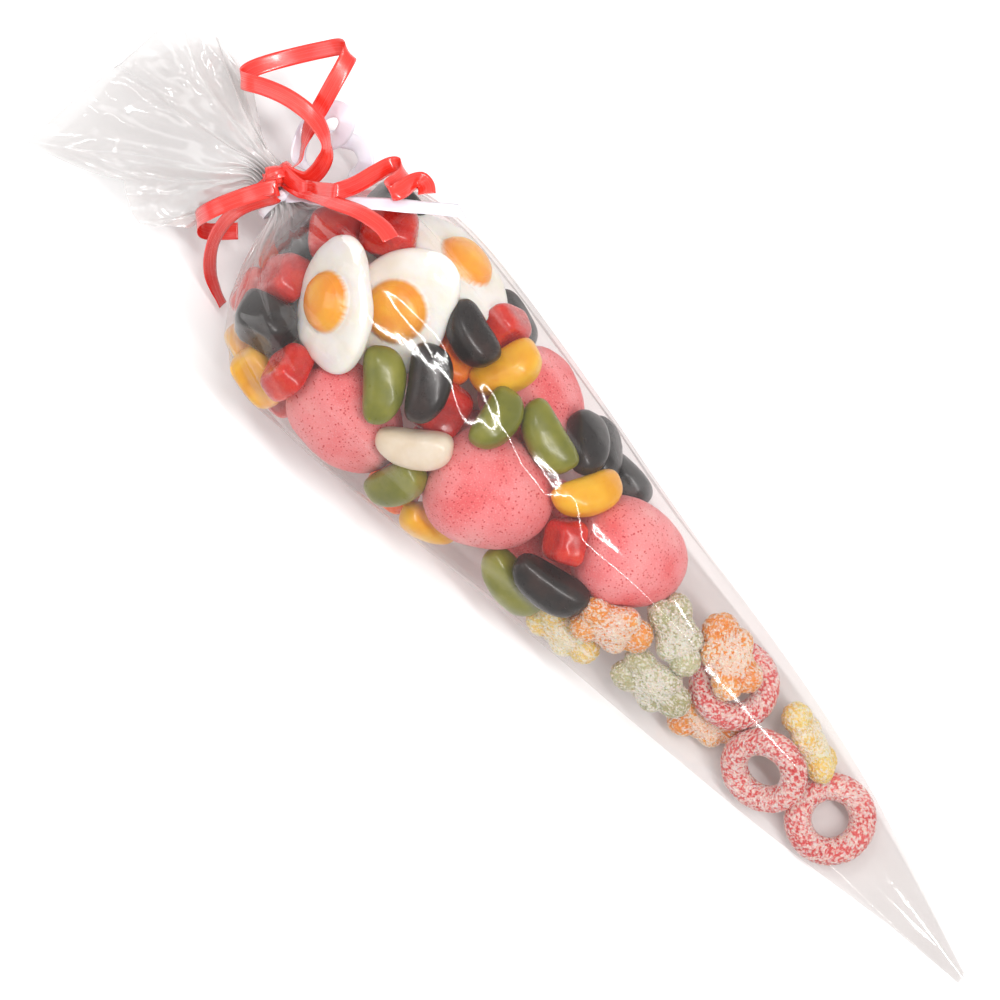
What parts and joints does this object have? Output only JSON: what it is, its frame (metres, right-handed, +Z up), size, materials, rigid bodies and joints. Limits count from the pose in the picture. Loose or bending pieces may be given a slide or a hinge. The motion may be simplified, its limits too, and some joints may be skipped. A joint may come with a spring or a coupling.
{
  "type": "filled plastic cone bag",
  "caption": "Clear plastic-film cone bag filled with mixed sweets, lying on its side, its gathered neck tied with red and white curling ribbon.",
  "frame": {"origin": "middle of the box round the whole bag, on the surface it lies on", "axes": "+X from the neck to the pointed tip, +Z up from the surface"},
  "size_m": [0.3706, 0.09, 0.0732],
  "materials": {
    "clear_film": "clear plastic film, glossy, faintly warm grey where it is gathered",
    "ribbon_red": "bright red satin-gloss curling ribbon",
    "ribbon_white": "pearly white and lilac curling ribbon",
    "candy_black": "black candy, satin gloss",
    "candy_green": "olive green candy, satin gloss",
    "candy_cream": "cream candy, satin gloss",
    "candy_yellow": "golden yellow candy, satin gloss",
    "candy_orange": "orange wine gum, translucent, glossy",
    "candy_red": "red wine gum, translucent, glossy",
    "egg_gummy": "white foam gummy with an orange-yellow jelly yolk",
    "foam_strawberry": "pink aerated foam with fine red specks",
    "sugared_red": "red jelly coated in sugar crystals",
    "sugared_orange": "orange jelly coated in sugar crystals",
    "sugared_yellow": "yellow jelly coated in sugar crystals",
    "sugared_green": "pale olive jelly coated in sugar crystals"
  },
  "bodies": {
    "root": {"cone_bag_film": "clear_film", "ribbon_red": "ribbon_red", "ribbon_white": "ribbon_white", "jelly_bean_green_1": "candy_green", "jelly_bean_black_1": "candy_black", "jelly_bean_cream_1": "candy_cream", "jelly_bean_green_2": "candy_green", "jelly_bean_black_2": "candy_black", "jelly_bean_yellow_1": "candy_yellow", "jelly_bean_green_3": "candy_green", "jelly_bean_green_4": "candy_green", "jelly_bean_black_3": "candy_black", "jelly_bean_black_4": "candy_black", "jelly_bean_black_5": "candy_black", "jelly_bean_yellow_2": "candy_yellow", "jelly_bean_green_5": "candy_green", "jelly_bean_black_6": "candy_black", "jelly_bean_black_7": "candy_black", "jelly_bean_yellow_3": "candy_yellow", "wine_gum_black_1": "candy_black", "wine_gum_orange_1": "candy_orange", "wine_gum_red_1": "candy_red", "wine_gum_red_2": "candy_red", "wine_gum_black_2": "candy_black", "wine_gum_red_3": "candy_red", "wine_gum_red_4": "candy_red", "wine_gum_black_3": "candy_black", "wine_gum_yellow_1": "candy_yellow", "wine_gum_yellow_2": "candy_yellow", "wine_gum_red_5": "candy_red", "wine_gum_red_6": "candy_red", "wine_gum_red_7": "candy_red", "wine_gum_orange_2": "candy_orange", "wine_gum_red_8": "candy_red", "wine_gum_orange_3": "candy_orange", "wine_gum_red_9": "candy_red", "fried_egg_1": "egg_gummy", "fried_egg_2": "egg_gummy", "fried_egg_3": "egg_gummy", "fried_egg_4": "egg_gummy", "fried_egg_5": "egg_gummy", "foam_strawberry_1": "foam_strawberry", "foam_strawberry_2": "foam_strawberry", "foam_strawberry_3": "foam_strawberry", "foam_strawberry_4": "foam_strawberry", "fizzy_orange_1": "sugared_orange", "fizzy_yellow_1": "sugared_yellow", "fizzy_green_1": "sugared_green", "fizzy_green_2": "sugared_green", "fizzy_orange_2": "sugared_orange", "fizzy_yellow_2": "sugared_yellow", "fizzy_ring_1": "sugared_red", "fizzy_ring_2": "sugared_red", "fizzy_ring_3": "sugared_red", "fizzy_orange_3": "sugared_orange", "foam_strawberry_5": "foam_strawberry", "foam_strawberry_6": "foam_strawberry", "fried_egg_6": "egg_gummy", "foam_strawberry_7": "foam_strawberry", "foam_strawberry_8": "foam_strawberry"}
  },
  "joints": []
}
